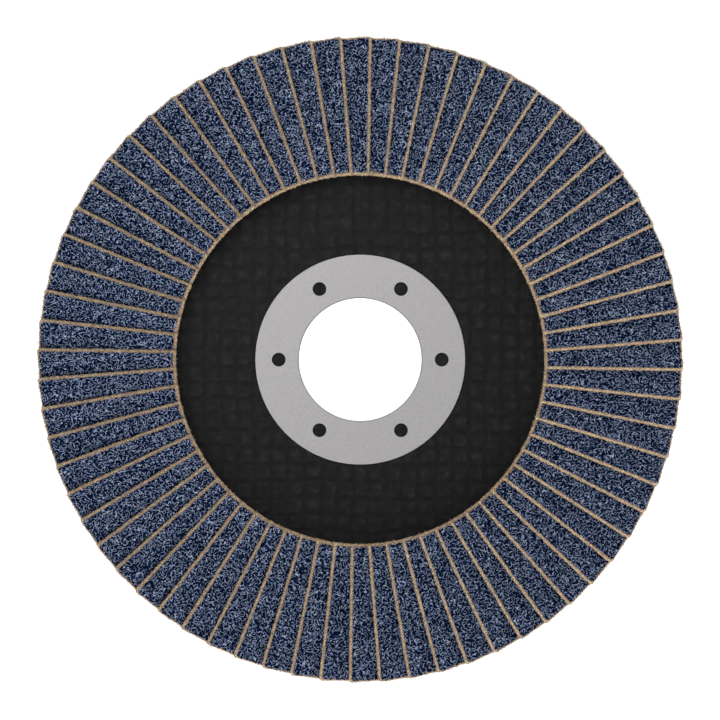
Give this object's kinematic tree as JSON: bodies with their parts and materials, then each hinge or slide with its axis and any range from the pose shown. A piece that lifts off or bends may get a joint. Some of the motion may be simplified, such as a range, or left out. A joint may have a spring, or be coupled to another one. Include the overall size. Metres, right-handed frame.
{
  "type": "flap disc",
  "caption": "Flap disc for an angle grinder: overlapping abrasive cloth flaps bonded to a round laminate plate with a steel-ringed bore.",
  "frame": {"origin": "on the bore's axis, in the plane of the hub's back face, which the disc lies on", "axes": "+Z along the bore's axis, from the hub's back towards the abrasive face; the disc lies in the XY plane"},
  "size_m": [0.1168, 0.1168, 0.0134],
  "materials": {
    "laminate": "satin",
    "steel": "satin",
    "resin": "satin",
    "abrasive_cloth": "matte"
  },
  "bodies": {
    "root": {"backing_plate": "laminate", "bore_ring": "steel", "adhesive_bed": "resin", "flap_pair_01": "abrasive_cloth", "flap_pair_02": "abrasive_cloth", "flap_pair_03": "abrasive_cloth", "flap_pair_04": "abrasive_cloth", "flap_pair_05": "abrasive_cloth", "flap_pair_06": "abrasive_cloth", "flap_pair_07": "abrasive_cloth", "flap_pair_08": "abrasive_cloth", "flap_pair_09": "abrasive_cloth", "flap_pair_10": "abrasive_cloth", "flap_pair_11": "abrasive_cloth", "flap_pair_12": "abrasive_cloth", "flap_pair_13": "abrasive_cloth", "flap_pair_14": "abrasive_cloth", "flap_pair_15": "abrasive_cloth", "flap_pair_16": "abrasive_cloth", "flap_pair_17": "abrasive_cloth", "flap_pair_18": "abrasive_cloth", "flap_pair_19": "abrasive_cloth", "flap_pair_20": "abrasive_cloth", "flap_pair_21": "abrasive_cloth", "flap_pair_22": "abrasive_cloth", "flap_pair_23": "abrasive_cloth", "flap_pair_24": "abrasive_cloth", "flap_pair_25": "abrasive_cloth", "flap_pair_26": "abrasive_cloth", "flap_pair_27": "abrasive_cloth", "flap_pair_28": "abrasive_cloth", "flap_pair_29": "abrasive_cloth", "flap_pair_30": "abrasive_cloth", "flap_pair_31": "abrasive_cloth", "flap_pair_32": "abrasive_cloth", "flap_pair_33": "abrasive_cloth", "flap_pair_34": "abrasive_cloth"}
  },
  "joints": []
}
